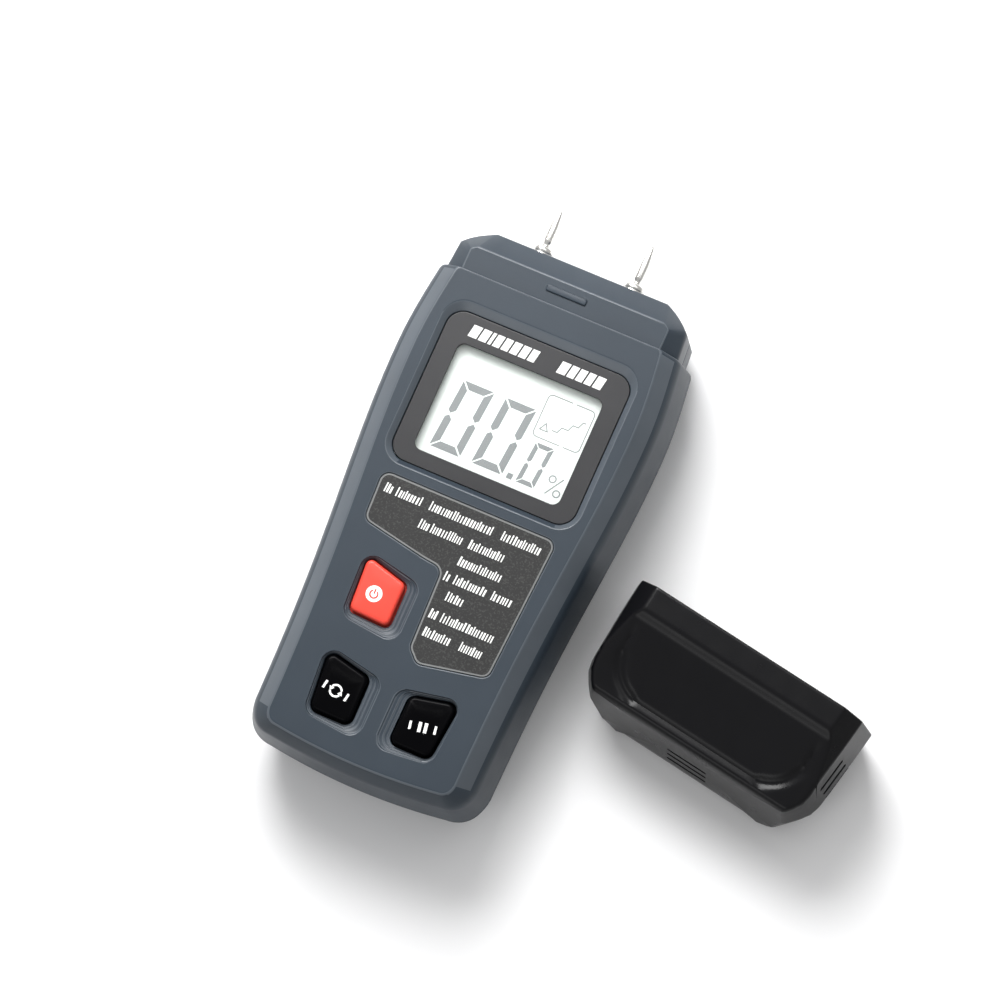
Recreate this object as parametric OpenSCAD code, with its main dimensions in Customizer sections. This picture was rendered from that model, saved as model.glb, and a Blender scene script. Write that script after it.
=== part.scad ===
// Pin moisture meter: slate housing in two shells, two screw-in needle pins, display window,
// three keys, block battery under a slide-off door, and a loose pin cap lying beside it.
// The meter lies on its back. +Y points along the pins, +Z points out of the display face.

/* [Housing] */
// Thickness from the back to the display face
body_t = 28; // [27.5:0.5:30]
// Half width at the waist, near the bottom end
waist_half = 27.6; // [27:0.2:29]
// How much further each side swells at the display
swell = 4.2; // [3:0.2:5]
// Height of the parting plane between the two shells
part_z = 14; // [13:0.5:15]
// Wall thickness of the shells
wall = 2; // [1.8:0.1:2.2]
// Where the body stops and the nose begins
shoulder_y = 50; // [49:0.5:51]
// Where the bottom end is, on the middle line
bottom_y = -61; // [-62:0.5:-61]
// Step from the body's face down to the nose's face
nose_step = 1.6; // [1.4:0.1:2]
// Half width of the nose
nose_half = 27.4; // [27:0.1:27.5]
// Length of the nose
nose_len = 11; // [10.5:0.5:12]

/* [Pins] */
// Distance between the two needle pins
pin_gap = 21.6; // [18:0.2:24]
// Radius of a needle
pin_r = 1.05; // [0.8:0.05:1.2]
// Length from the nose to the needle's tip
pin_len = 11.9; // [10:0.1:12]
// Radius of the needle's collar
collar_r = 2.45; // [2.2:0.05:2.8]

/* [Display] */
// Half width of the window opening
window_half = 21.5; // [21:0.1:21.6]
// Lower edge of the window opening
window_low = 6.4; // [6:0.1:7]
// Upper edge of the window opening
window_high = 41.8; // [41:0.1:42]
// How far the printed border sits below the face
window_drop = 1.3; // [1:0.1:1.4]
// Half width of the clear view
view_half = 17; // [16:0.2:17.4]
// Lower edge of the clear view
view_low = 10.1; // [9.5:0.1:11]
// Upper edge of the clear view
view_high = 35.1; // [34:0.1:36]

/* [Keys] */
// How far a key sinks when pressed
key_travel = 0.6; // [0.4:0.1:0.6]
// How far a key stands above the face
key_proud = 0.7; // [0.3:0.1:1]
// Gap around a key in its hole
key_gap = 0.45; // [0.3:0.05:0.6]
// Depth of the dished well around a key
well_depth = 1; // [0.6:0.1:1.2]

/* [Battery] */
// Width of the block battery
battery_w = 26.5; // [26:0.1:26.5]
// Length of the block battery, without its studs
battery_len = 48.5; // [46:0.5:48.5]
// Thickness of the block battery
battery_t = 17.5; // [16.5:0.1:17.5]
// Half width of the battery door
door_half = 15; // [15:0.1:15.4]

/* [Cap] */
// Length of the cap along the way it pulls off
cap_len = 28; // [27.5:0.5:30]
// Wall thickness at the closed end of the cap
cap_end_wall = 2; // [1.6:0.1:2.4]
// Gap between the nose and the inside of the cap
cap_clearance = 0.25; // [0.2:0.05:0.3]
// Middle of the cap, to the right of the meter
cap_x = 65; // [65:0.5:90]
// Middle of the cap, along the meter
cap_y = -15.5; // [-30:0.5:0]
// Turn of the loose cap on the surface
cap_turn = -10; // [-12:1:0]

/* [Hidden] */

// Run of the swell along the body
swell_peak = 30;
swell_run_low = 44;
swell_run_high = 26.7;
// Cross-section: how far each edge lies inside the widest line
face_in = 6;
bevel_in = 1.9;
bevel_drop = 4;
back_in = 5.4;
heel_in = 3.6;
heel_z = 1.4;
flank_in = 1.9;
flank_z = 6;

nose_top = body_t - nose_step;
nose_back = nose_step;
nose_end = shoulder_y + nose_len;
nose_slope = 5.2;
mask_top = body_t - window_drop;
mask_t = 0.7;
lens_t = 0.8;
ledge_top = mask_top - mask_t - lens_t;
ledge_t = 0.8;
board_top = 22.6;
board_t = 1.4;
tray_t = 0.5;
glass_t = 1.2;
switch_t = 1.4;
key_low = 24.75;
key_flange = 0.8;
plunger_r = 1.7;
screw_r = 1.2;
screw_head_r = 2.4;
boss_r = 3;
top_boss = [21.6, 46.8];
low_boss = [19.5, -51];
battery_low = bottom_y + 5.2;
battery_high = battery_low + battery_len;
battery_z = 2.9;
rail_z = 2.4;
door_t = 2;
power_at = [-10.4, -22];
mode_at = [-9.6, -44.6];
hold_at = [10, -44.6];
board_screw_at = [[-21, 1.5], [21, 1.5], [-21, -38], [21, -38]];
slice_n = 16;
fit = 0.1;

function body_half(y) =
    waist_half + swell * exp(-pow((y - swell_peak) / (y < swell_peak ? swell_run_low : swell_run_high), 2));

// An outline with every corner rounded by an arc of radius r
function rounded(pts, r, n = 5) = [
    for (i = [0:len(pts) - 1])
        let (
            p = pts[i],
            a = pts[(i + len(pts) - 1) % len(pts)] - p,
            b = pts[(i + 1) % len(pts)] - p,
            ua = a / norm(a),
            ub = b / norm(b),
            half = acos(ua * ub) / 2,
            mid = (ua + ub) / norm(ua + ub),
            centre = p + mid * r / sin(half),
            start = p + ua * r / tan(half) - centre,
            turn = cross(start, p - centre) > 0 ? 180 - 2 * half : 2 * half - 180
        )
        for (k = [0:n])
            centre + [
                start.x * cos(turn * k / n) - start.y * sin(turn * k / n),
                start.x * sin(turn * k / n) + start.y * cos(turn * k / n)
            ]
];

function box_outline(half, low, high) = [[-half, low], [half, low], [half, high], [-half, high]];

function mirrored(pts) = [for (p = pts) p, for (i = [len(pts) - 1:-1:0]) [-pts[i].x, pts[i].y]];

// Key outlines about their own middles; the hold key mirrors the mode key
power_shape = [[-5.1, 6.4], [4.7, 3.8], [4.8, -6], [-4.3, -5.6]];
side_shape = [[-5.3, 7.1], [4.9, 4.9], [5, -5.8], [-4, -5.8]];
power_well = [[-6.2, 7.8], [8, 5], [8, -9], [-5.6, -7.6]];
side_well = [[-6.4, 8.4], [8.2, 5.6], [8.2, -8.4], [-5.2, -7.2]];
label_shape = [
    [-20.4, 2.9], [20.4, 2.9], [18.8, -29.9], [3.4, -33], [0.6, -30.2], [0, -12], [-5, -11.4], [-19.9, -8.6]
];
nose_plan = mirrored([
    [nose_half, shoulder_y - 6], [nose_half - 0.6, nose_end - 5], [nose_half - 7.4, nose_end]
]);

// Loft of a symmetric half section along the body, from y0 to y1
module body_loft(section, y0, y1) {
    rows = [for (i = [0:slice_n]) let (y = y0 + (y1 - y0) * i / slice_n)
        [for (p = mirrored(section(body_half(y)))) [p.x, y, p.y]]];
    n = len(rows[0]);
    polyhedron(
        points = [for (row = rows) each row],
        faces = concat(
            [[for (k = [n - 1:-1:0]) k]],
            [[for (k = [0:n - 1]) slice_n * n + k]],
            [for (i = [0:slice_n - 1]) for (k = [0:n - 1])
                let (m = (k + 1) % n, a = i * n, b = a + n)
                each [[a + k, a + m, b + m], [a + k, b + m, b + k]]]
        )
    );
}

// Outline seen from the front, used to round off the bottom end; t moves it inwards
module plan(t = 0) {
    polygon(rounded(mirrored([
        [40, shoulder_y - t], [40, bottom_y + 14 + t * 0.4], [28.6 - t, bottom_y + 8 + t * 0.3],
        [21.6 - t * 0.5, bottom_y + 1.5 + t], [8, bottom_y + t]
    ]), 1.5, 3));
}

// Side profile of the bottom end, seen along X
module end_profile(t = 0) {
    rotate([90, 0, 90]) linear_extrude(80, center = true)
        polygon([
            [bottom_y + 5 + t, t], [bottom_y + 3.4 + t, heel_z + t * 0.5], [bottom_y + 1.8 + t, flank_z],
            [bottom_y + t, part_z],
            [bottom_y + 1 + t, body_t - 3.6 - t * 0.5], [bottom_y + 3 + t, body_t - t],
            [70, body_t - t], [70, t]
        ]);
}

function front_section(w, t) = [
    [w - t, part_z], [w - bevel_in - t, body_t - bevel_drop - t * 0.6], [w - face_in - t * 0.8, body_t - t]
];
function rear_section(w, t) = [
    [w - back_in - t * 0.6, t], [w - heel_in - t, heel_z + t * 0.6],
    [w - flank_in - t, flank_z], [w - t, part_z]
];

module front_block(t = 0) {
    sec = function (w) front_section(w, t);
    intersection() {
        body_loft(sec, bottom_y - 1, shoulder_y - t);
        linear_extrude(40) plan(t);
        end_profile(t);
    }
}

module rear_block(t = 0) {
    sec = function (w) rear_section(w, t);
    intersection() {
        body_loft(sec, bottom_y - 1, shoulder_y - t);
        linear_extrude(40) plan(t);
        end_profile(t);
    }
}

// The nose as a whole, cut by its end slopes; t moves it inwards
module nose_block(t = 0) {
    intersection() {
        linear_extrude(40) offset(delta = -t) polygon(nose_plan);
        rotate([90, 0, 90]) linear_extrude(80, center = true)
            polygon([
                [shoulder_y - 5, nose_back + t], [nose_end - nose_slope - t * 0.4, nose_back + t],
                [nose_end - t, nose_back + nose_slope], [nose_end - t, nose_top - nose_slope],
                [nose_end - nose_slope - t * 0.4, nose_top - t], [shoulder_y - 5, nose_top - t]
            ]);
        translate([0, shoulder_y + 20, 0]) rotate([90, 0, 0]) linear_extrude(40)
            polygon(mirrored([
                [nose_half - 4.2 - t * 0.6, nose_back + t], [nose_half - t, nose_back + 4 + t * 0.5],
                [nose_half - t, nose_top - 4 - t * 0.5], [nose_half - 4.2 - t * 0.6, nose_top - t]
            ]));
    }
}

module above(z) { translate([-50, -80, z]) cube([100, 160, 60]); }

module below(z) { translate([-50, -80, z - 60]) cube([100, 160, 60]); }

module at_pins() { for (s = [-1, 1]) translate([s * pin_gap / 2, 0, part_z]) children(); }

module at_bosses() {
    for (s = [-1, 1]) for (b = [top_boss, low_boss]) translate([s * b.x, b.y, 0]) children();
}

// A cylinder that points along +Y
module rod(r, y0, y1) { translate([0, y1, 0]) rotate([90, 0, 0]) cylinder(r = r, h = y1 - y0, $fn = 48); }

module flat(pts, z0, z1) { translate([0, 0, z0]) linear_extrude(z1 - z0) polygon(pts); }

module slab(x0, x1, y0, y1, z0, z1) { translate([x0, y0, z0]) cube([x1 - x0, y1 - y0, z1 - z0]); }

module flipped(on) { mirror([on ? 1 : 0, 0, 0]) children(); }

module well(shape) { flat(rounded(shape, 3), body_t - well_depth, body_t + 1); }

module key_hole(shape, r) { linear_extrude(60) offset(delta = key_gap) polygon(rounded(shape, r)); }

module throat(z0, z1) { slab(4 - nose_half, nose_half - 4, shoulder_y - 3, shoulder_y + 1, z0, z1); }

module front_case() {
    color("slategray") difference() {
        union() {
            difference() {
                union() {
                    front_block();
                    intersection() { nose_block(); above(part_z); }
                }
                front_block(wall);
                intersection() { nose_block(wall); above(part_z - 1); }
                // Way between the body and the nose, inside
                throat(part_z - 1, nose_top - wall);
            }
            // Ledge that the window rests on
            slab(-window_half - 1.6, window_half + 1.6, window_low - 1.6, window_high + 1.6,
                ledge_top - ledge_t, body_t - wall + fit);
            // Screw bosses
            at_bosses() translate([0, 0, part_z])
                cylinder(r = boss_r, h = body_t - wall + fit - part_z, $fn = 48);
            // Posts that the board is screwed to
            for (p = board_screw_at) translate([p.x, p.y, board_top])
                cylinder(r = 2.2, h = body_t - wall + fit - board_top, $fn = 48);
            // Raised catch for the cap
            slab(-4.7, 4.7, shoulder_y + 2.6, shoulder_y + 4, nose_top - fit, nose_top + 0.4);
        }
        flat(rounded(box_outline(window_half, window_low, window_high), 4), ledge_top, body_t + 1);
        flat(rounded(box_outline(view_half + 1.2, view_low - 1.2, view_high + 1.2), 1.5), part_z, body_t);
        at_bosses() translate([0, 0, part_z - 1]) cylinder(r = screw_r + 0.05, h = 9, $fn = 48);
        for (p = board_screw_at) translate([p.x, p.y, part_z])
            cylinder(r = 1.05, h = board_top + 2.6 - part_z, $fn = 48);
        at_pins() rod(collar_r + 0.05, nose_end - 5, nose_end + 1);
        translate(power_at) key_hole(power_shape, 1.3);
        translate(mode_at) key_hole(side_shape, 1.6);
        translate(hold_at) flipped(true) key_hole(side_shape, 1.6);
        translate(power_at) well(power_well);
        translate(mode_at) well(side_well);
        translate(hold_at) flipped(true) well(side_well);
        // Pocket for the label
        flat(label_points, body_t - 0.3, body_t + 1);
    }
}

label_points = rounded(label_shape, 2.2);

module rear_case() {
    color("slategray") difference() {
        union() {
            difference() {
                union() {
                    rear_block();
                    intersection() { nose_block(); below(part_z); }
                }
                rear_block(wall);
                intersection() { nose_block(wall); below(part_z + 1); }
                throat(nose_back + wall, part_z + 1);
            }
            intersection() {
                rear_block();
                union() {
                    // Battery bay walls and stop
                    for (s = [-1, 1])
                        slab(s * 16.2 - 0.8, s * 16.2 + 0.8, bottom_y, battery_high + 9, 3.9, part_z);
                    slab(-17, 17, battery_high + 8, battery_high + 9.6, 1, part_z);
                    at_bosses() cylinder(r = boss_r + 0.6, h = part_z, $fn = 48);
                }
            }
            // Saddles that carry the pin sockets
            at_pins() slab(-4, 4, shoulder_y - 1, shoulder_y + 6, nose_back - part_z + 1, 0);
        }
        at_bosses() {
            translate([0, 0, -1]) cylinder(r = screw_r + 0.3, h = part_z + 2, $fn = 48);
            translate([0, 0, -1]) cylinder(r = screw_head_r + 0.15, h = 3.6, $fn = 48);
        }
        at_pins() rod(collar_r + 0.05, shoulder_y - 2, nose_end + 1);
        // Doorway that runs out through the bottom end
        slab(-door_half - fit, door_half + fit, bottom_y - 2, battery_high + 3 + fit, -1, door_t + 1);
        slab(-door_half - 1.7, door_half + 1.7, bottom_y - 2, battery_high + 4.5, door_t, 3.8);
    }
}

module window_mask() {
    color("dimgray") difference() {
        flat(rounded(box_outline(window_half - fit, window_low + fit, window_high - fit), 3.9),
            mask_top - mask_t, mask_top);
        flat(rounded(box_outline(view_half, view_low, view_high), 1.8),
            mask_top - mask_t - 1, mask_top + 1);
    }
}

module display_lens() {
    color("azure") flat(rounded(box_outline(window_half - fit, window_low + fit, window_high - fit), 3.9),
        ledge_top, ledge_top + lens_t);
}

module lcd_tray() {
    color("white") difference() {
        slab(-20.6, 20.6, view_low - 2.6, view_high + 2.8, board_top, board_top + tray_t + glass_t);
        slab(-19.4, 19.4, view_low - 1.6, view_high + 1.8, board_top + tray_t, board_top + 5);
    }
}

module lcd_glass() {
    color("honeydew") slab(-19.3, 19.3, view_low - 1.5, view_high + 1.7,
        board_top + tray_t, board_top + tray_t + glass_t);
}

module contact_strip() {
    color("pink") slab(-18, 18, view_high + 3.1, view_high + 4.9, board_top, board_top + 1.6);
}

module label_plate() {
    color("darkslategray") translate([0, 0, body_t - 0.3]) linear_extrude(0.25)
        offset(delta = -fit) polygon(label_points);
}

module circuit_board() {
    color("darkgreen") difference() {
        flat(mirrored([
            [23, -47], [23, 41.5], [17.5, 43], [17.5, 47.5], [0, 47.5]
        ]), board_top - board_t, board_top);
        for (p = board_screw_at) translate([p.x, p.y, 0]) cylinder(r = 1.15, h = 30, $fn = 32);
    }
}

module main_chip() {
    color("black") slab(-6, 6, 14, 26, board_top - board_t - 1.6, board_top - board_t);
}

module board_parts() {
    low = board_top - board_t;
    color("tan") for (x = [-14:4:14]) slab(x - 1, x + 1, 30, 31.4, low - 1, low);
    color("darkslateblue") for (x = [-12, 12]) translate([x, 18, low - 5])
        cylinder(r = 2.5, h = 5, $fn = 32);
}

module switch_housings() {
    color("black") for (p = [power_at, mode_at, hold_at]) difference() {
        slab(p.x - 3, p.x + 3, p.y - 3, p.y + 3, board_top, board_top + switch_t);
        translate([p.x, p.y, board_top - 1]) cylinder(r = plunger_r + 0.15, h = 5, $fn = 48);
    }
}

module plunger(p) {
    color("gold") translate([p.x, p.y, key_low - 1.2]) cylinder(r = plunger_r, h = 1.2, $fn = 48);
}

// A key with a flange that keeps it behind the face
module key(shape, r) {
    translate([0, 0, key_low]) {
        linear_extrude(body_t + key_proud - key_low) polygon(rounded(shape, r));
        linear_extrude(key_flange) offset(delta = 1) polygon(rounded(shape, r));
    }
}

module power_key() { color("tomato") translate([power_at.x, power_at.y, 0]) key(power_shape, 1.3); }

module mode_key() { color("black") translate([mode_at.x, mode_at.y, 0]) key(side_shape, 1.6); }

module hold_key() {
    color("black") translate([hold_at.x, hold_at.y, 0]) flipped(true) key(side_shape, 1.6);
}

module power_plunger() { plunger(power_at); }

module mode_plunger() { plunger(mode_at); }

module hold_plunger() { plunger(hold_at); }

module battery() {
    color("darkgray") translate([0, 0, battery_z]) linear_extrude(battery_t)
        polygon(rounded(box_outline(battery_w / 2, battery_low, battery_high), 1.2));
}

// The two studs of the block battery
module battery_studs() {
    color("silver") for (s = [-1, 1]) translate([s * 6.4, 0, battery_z + battery_t / 2])
        rod(s > 0 ? 2.8 : 3.6, battery_high, battery_high + 2.6);
}

module contact_block() {
    y = battery_high + 3.6;
    color("black") slab(-12.6, 12.6, y, y + 2.4, battery_z + 2, board_top - board_t - 0.3);
}

// Leaves between the studs and the contact block
module contact_springs() {
    y = battery_high + 2.6;
    color("goldenrod") for (s = [-1, 1])
        slab(s * 6.4 - 2, s * 6.4 + 2, y, y + 1, battery_z + 4, battery_z + battery_t - 4);
}

// Slide-off door with side rails, finger ridges and its own piece of the bottom end
module battery_door() {
    top = battery_high + 3;
    color("slategray") difference() {
        intersection() {
            union() {
                slab(-door_half, door_half, bottom_y, top, 0, door_t + fit);
                slab(-door_half - 1.5, door_half + 1.5, bottom_y, battery_low - fit, rail_z, 3.6);
                slab(-door_half + 1, door_half - 1, bottom_y, battery_low - fit, 0, 3.6);
                // Rails that run inside the case
                flipped_pair() {
                    slab(door_half - 1.5, door_half + 1.5, bottom_y + 3.2, top - 2, rail_z, 3.6);
                    slab(door_half - 1.5, door_half - 0.4, bottom_y + 3.2, top - 2, door_t, rail_z + fit);
                }
            }
            end_profile();
            linear_extrude(40) plan();
        }
        // Finger grooves
        for (k = [0:3]) slab(-8, 8, top - 9 - k * 2, top - 8 - k * 2, -1, 0.5);
    }
}

module flipped_pair() {
    children();
    mirror([1, 0, 0]) children();
}

module door_pad() {
    color("dimgray") slab(-11, 11, battery_low + 5, battery_high - 5, door_t + fit, battery_z);
}

module electrode_pins() {
    color("silver") at_pins() rotate([-90, 0, 0]) rotate_extrude($fn = 48)
        polygon([
            [0, shoulder_y + 2], [screw_r, shoulder_y + 2], [screw_r, nose_end],
            [collar_r, nose_end], [collar_r, nose_end + 2.2], [collar_r - 0.5, nose_end + 2.7],
            [pin_r * 0.72, nose_end + 2.9], [pin_r, nose_end + 4], [pin_r, nose_end + pin_len - 4.4],
            [pin_r * 0.42, nose_end + pin_len - 0.5], [0, nose_end + pin_len]
        ]);
}

module pin_sockets() {
    color("goldenrod") at_pins() difference() {
        rod(collar_r, shoulder_y - 1, nose_end);
        rod(screw_r + 0.05, shoulder_y - 2, nose_end + 1);
    }
}

// Strips that lead from the sockets to the board
module pin_leads() {
    color("goldenrod") for (s = [-1, 1]) translate([s * pin_gap / 2, 0, 0]) {
        slab(-1.2, 1.2, shoulder_y - 1.5, shoulder_y - 1, part_z - 0.4, board_top - board_t);
        slab(-1.2, 1.2, shoulder_y - 4, shoulder_y - 1, board_top - board_t - 0.5, board_top - board_t);
    }
}

module case_screws() {
    color("silver") at_bosses() difference() {
        union() {
            translate([0, 0, 0.7]) cylinder(r = screw_head_r, h = 1.9, $fn = 48);
            translate([0, 0, 2.6]) cylinder(r = screw_r, h = 18, $fn = 48);
        }
        for (a = [0, 90]) rotate([0, 0, a]) slab(-1.6, 1.6, -0.35, 0.35, 0, 1.7);
    }
}

module board_screws() {
    color("silver") for (p = board_screw_at) translate([p.x, p.y, 0]) {
        translate([0, 0, board_top - board_t - 1.2]) cylinder(r = 2, h = 1.2, $fn = 48);
        translate([0, 0, board_top - board_t]) cylinder(r = 1, h = board_t + 2.4, $fn = 48);
    }
}

// Outline of the cap seen from its front; its mouth is at +Y
function cap_plan(t) = mirrored([
    [shoulder_half - t, cap_len / 2], [shoulder_half - t - 0.2, cap_len / 2 - cap_collar],
    [shoulder_half - 0.9 - t, -cap_len / 2 + 6.4 + t * 0.4],
    [shoulder_half - 6.6 - t * 0.7, -cap_len / 2 + t]
]);
shoulder_half = body_half(shoulder_y);
cap_collar = 7;
cap_drop = 5;
groove_cut = 0.5;
groove_step = 3;
groove_low = 8;

module cap_shape() {
    intersection() {
        linear_extrude(40) polygon(rounded(cap_plan(0), 0.8, 3));
        rotate([90, 0, 90]) linear_extrude(80, center = true)
            polygon([
                [cap_len / 2, 0], [cap_len / 2, body_t], [cap_len / 2 - cap_collar, body_t],
                [cap_len / 2 - cap_collar - 1.2, body_t - 0.8], [-cap_len / 2 + 4, body_t - cap_drop],
                [-cap_len / 2 + 2.6, body_t - cap_drop - 1.8], [-cap_len / 2, 3], [-cap_len / 2 + 1.6, 0]
            ]);
        translate([0, 30, 0]) rotate([90, 0, 0]) linear_extrude(60)
            polygon(mirrored([
                [shoulder_half - back_in, 0], [shoulder_half - heel_in, heel_z],
                [shoulder_half - flank_in, flank_z], [shoulder_half, part_z],
                [shoulder_half - bevel_in, body_t - bevel_drop], [shoulder_half - face_in, body_t]
            ]));
    }
}

// Hollow that takes the nose and the pins
module cap_hollow() {
    c = cap_clearance;
    seat = cap_len / 2 - nose_len;
    intersection() {
        linear_extrude(40) polygon(mirrored([
            [nose_half + c, cap_len / 2 + 1], [nose_half + c, seat + 4.4],
            [nose_half + c - 3, -cap_len / 2 + 6], [nose_half + c - 6.5, -cap_len / 2 + cap_end_wall]
        ]));
        rotate([90, 0, 90]) linear_extrude(80, center = true)
            polygon([
                [cap_len / 2 + 1, nose_back - c], [cap_len / 2 + 1, nose_top + c],
                [seat + nose_slope, nose_top + c], [seat + 1.5, body_t - 4.3], [-cap_len / 2 + 6, 20],
                [-cap_len / 2 + 4, 18], [-cap_len / 2 + cap_end_wall, 4], [seat, nose_back + 1.6],
                [seat + nose_slope, nose_back - c]
            ]);
        translate([0, 30, 0]) rotate([90, 0, 0]) linear_extrude(60)
            polygon(mirrored([
                [nose_half - 4.2 + c, nose_back - c], [nose_half + c, nose_back + 4 - c],
                [nose_half + c, nose_top - 4 + c], [nose_half - 4.2 + c, nose_top + c]
            ]));
    }
    // Groove that lets the catch pass
    slab(-5.2, 5.2, cap_len / 2 - 6, cap_len / 2 + 1, nose_top - 1, nose_top + 0.75);
}

// Finger grooves: three along each narrow side and three across the closed end
module cap_grooves() {
    for (k = [0:2]) {
        side_in = 0.5 + bevel_in * k * groove_step / (body_t - bevel_drop - part_z);
        for (s = [-1, 1])
            translate([s * (shoulder_half - side_in - groove_cut + 1), 1.2, part_z + k * groove_step])
                cube([2, 8, 1], center = true);
        end_in = (groove_low - 3 + k * groove_step) / 7;
        translate([0, -cap_len / 2 + end_in + groove_cut - 1, groove_low + k * groove_step])
            cube([10, 2, 1], center = true);
    }
}

module cap() {
    color("black") translate([cap_x, cap_y, 0]) rotate([0, 0, cap_turn]) difference() {
        cap_shape();
        cap_hollow();
        cap_grooves();
    }
}

front_case();
rear_case();
window_mask();
display_lens();
lcd_glass();
lcd_tray();
contact_strip();
label_plate();
circuit_board();
main_chip();
board_parts();
switch_housings();
power_key();
power_plunger();
mode_key();
mode_plunger();
hold_key();
hold_plunger();
battery();
battery_studs();
contact_block();
contact_springs();
battery_door();
door_pad();
electrode_pins();
pin_sockets();
pin_leads();
case_screws();
board_screws();
cap();
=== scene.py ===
import random
from math import acos, cos, exp, pi, radians, sin, tan

import bmesh
import bpy
from mathutils import Matrix, Vector


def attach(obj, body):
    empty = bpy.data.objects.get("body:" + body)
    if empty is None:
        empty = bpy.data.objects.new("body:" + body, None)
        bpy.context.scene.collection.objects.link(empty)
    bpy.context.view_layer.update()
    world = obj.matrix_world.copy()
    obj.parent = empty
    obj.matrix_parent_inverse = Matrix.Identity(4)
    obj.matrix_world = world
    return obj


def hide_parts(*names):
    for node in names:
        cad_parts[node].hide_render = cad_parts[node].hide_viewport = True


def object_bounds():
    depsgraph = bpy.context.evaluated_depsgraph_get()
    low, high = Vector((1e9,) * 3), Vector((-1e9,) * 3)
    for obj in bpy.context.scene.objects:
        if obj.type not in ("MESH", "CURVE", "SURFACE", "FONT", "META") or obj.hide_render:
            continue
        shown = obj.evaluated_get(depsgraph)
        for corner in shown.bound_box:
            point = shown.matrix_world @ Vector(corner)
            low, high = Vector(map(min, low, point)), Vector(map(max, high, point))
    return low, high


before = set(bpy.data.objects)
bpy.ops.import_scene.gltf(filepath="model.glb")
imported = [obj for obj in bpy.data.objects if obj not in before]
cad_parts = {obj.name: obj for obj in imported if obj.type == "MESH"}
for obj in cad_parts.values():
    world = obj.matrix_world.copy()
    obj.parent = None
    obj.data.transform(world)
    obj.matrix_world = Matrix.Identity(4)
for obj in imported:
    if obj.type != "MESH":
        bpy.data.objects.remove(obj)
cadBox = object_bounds()
print("frame loaded:", len(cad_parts), "nodes")

mm = 0.001


# shape helpers; every length below is in millimetres
def roundedOutline(points, radius, steps=6):
    # every corner of a flat outline becomes an arc
    out = []
    count = len(points)
    for i in range(count):
        p = Vector(points[i])
        a = (Vector(points[i - 1]) - p).normalized()
        b = (Vector(points[(i + 1) % count]) - p).normalized()
        half = acos(max(-1, min(1, a.dot(b)))) / 2
        centre = p + (a + b).normalized() * radius / sin(half)
        start = p + a * radius / tan(half) - centre
        toCorner = p - centre
        turn = pi - 2 * half
        if start.x * toCorner.y - start.y * toCorner.x < 0:
            turn = -turn
        for k in range(steps + 1):
            t = turn * k / steps
            out.append((centre.x + start.x * cos(t) - start.y * sin(t),
                        centre.y + start.x * sin(t) + start.y * cos(t)))
    return out


def grownOutline(points, amount):
    # a convex outline moved outwards by the same amount on every side
    out = []
    count = len(points)
    middle = Vector((sum(p[0] for p in points) / count, sum(p[1] for p in points) / count))
    for i in range(count):
        p = Vector(points[i])
        a = (Vector(points[i - 1]) - p).normalized()
        b = (Vector(points[(i + 1) % count]) - p).normalized()
        half = acos(a.dot(b)) / 2
        inward = (a + b).normalized()
        if inward.dot(middle - p) < 0:
            inward = -inward
        out.append(tuple(p - inward * amount / sin(half)))
    return out


def boxOutline(left, right, low, high):
    return [(left, low), (right, low), (right, high), (left, high)]


def filletPath(points, radii, steps=5):
    # an open path in a plane, each inner corner rounded with its own radius
    out = [tuple(points[0])]
    for i in range(1, len(points) - 1):
        p = Vector(points[i])
        a = (Vector(points[i - 1]) - p).normalized()
        b = (Vector(points[i + 1]) - p).normalized()
        half = acos(max(-1, min(1, a.dot(b)))) / 2
        radius = radii[i - 1]
        centre = p + (a + b).normalized() * radius / sin(half)
        start = p + a * radius / tan(half) - centre
        toCorner = p - centre
        turn = pi - 2 * half
        if start.x * toCorner.y - start.y * toCorner.x < 0:
            turn = -turn
        for k in range(steps + 1):
            t = turn * k / steps
            out.append((centre.x + start.x * cos(t) - start.y * sin(t),
                        centre.y + start.x * sin(t) + start.y * cos(t)))
    out.append(tuple(points[-1]))
    return out


def mix(a, b, f):
    return a + (b - a) * f


def smooth(f):
    f = max(0, min(1, f))
    return f * f * (3 - 2 * f)


def mixOutlines(a, b, f):
    return [(mix(p[0], q[0], f), mix(p[1], q[1], f)) for p, q in zip(a, b)]


def addRing(bm, ring):
    return [bm.verts.new((x * mm, y * mm, z * mm)) for x, y, z in ring]


def joinRings(bm, a, b, closed=True):
    count = len(a)
    for k in range(count if closed else count - 1):
        m = (k + 1) % count
        bm.faces.new((a[k], a[m], b[m], b[k]))


def stack(bm, rings, closed=True):
    rows = [addRing(bm, ring) for ring in rings]
    for a, b in zip(rows, rows[1:]):
        joinRings(bm, a, b, closed)
    return rows


def level(outline, z):
    return [(x, y, z) for x, y in outline]


def flatFill(bm, loops):
    # one flat face between an outer loop and the holes inside it
    edges = []
    for loop in loops:
        for k in range(len(loop)):
            pair = (loop[k], loop[(k + 1) % len(loop)])
            edges.append(bm.edges.get(pair) or bm.edges.new(pair))
    bmesh.ops.triangle_fill(bm, use_beauty=True, use_dissolve=False, edges=edges)


def fanFill(bm, loop):
    # closes a ring with triangles round its middle point
    middle = bm.verts.new(sum((v.co for v in loop), Vector()) / len(loop))
    for k in range(len(loop)):
        bm.faces.new((loop[k - 1], loop[k], middle))


def shade(mesh, angle):
    bm = bmesh.new()
    bm.from_mesh(mesh)
    for face in bm.faces:
        face.smooth = True
    for edge in bm.edges:
        if len(edge.link_faces) != 2 or edge.calc_face_angle(0) > radians(angle):
            edge.smooth = False
    bm.to_mesh(mesh)
    bm.free()


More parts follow.
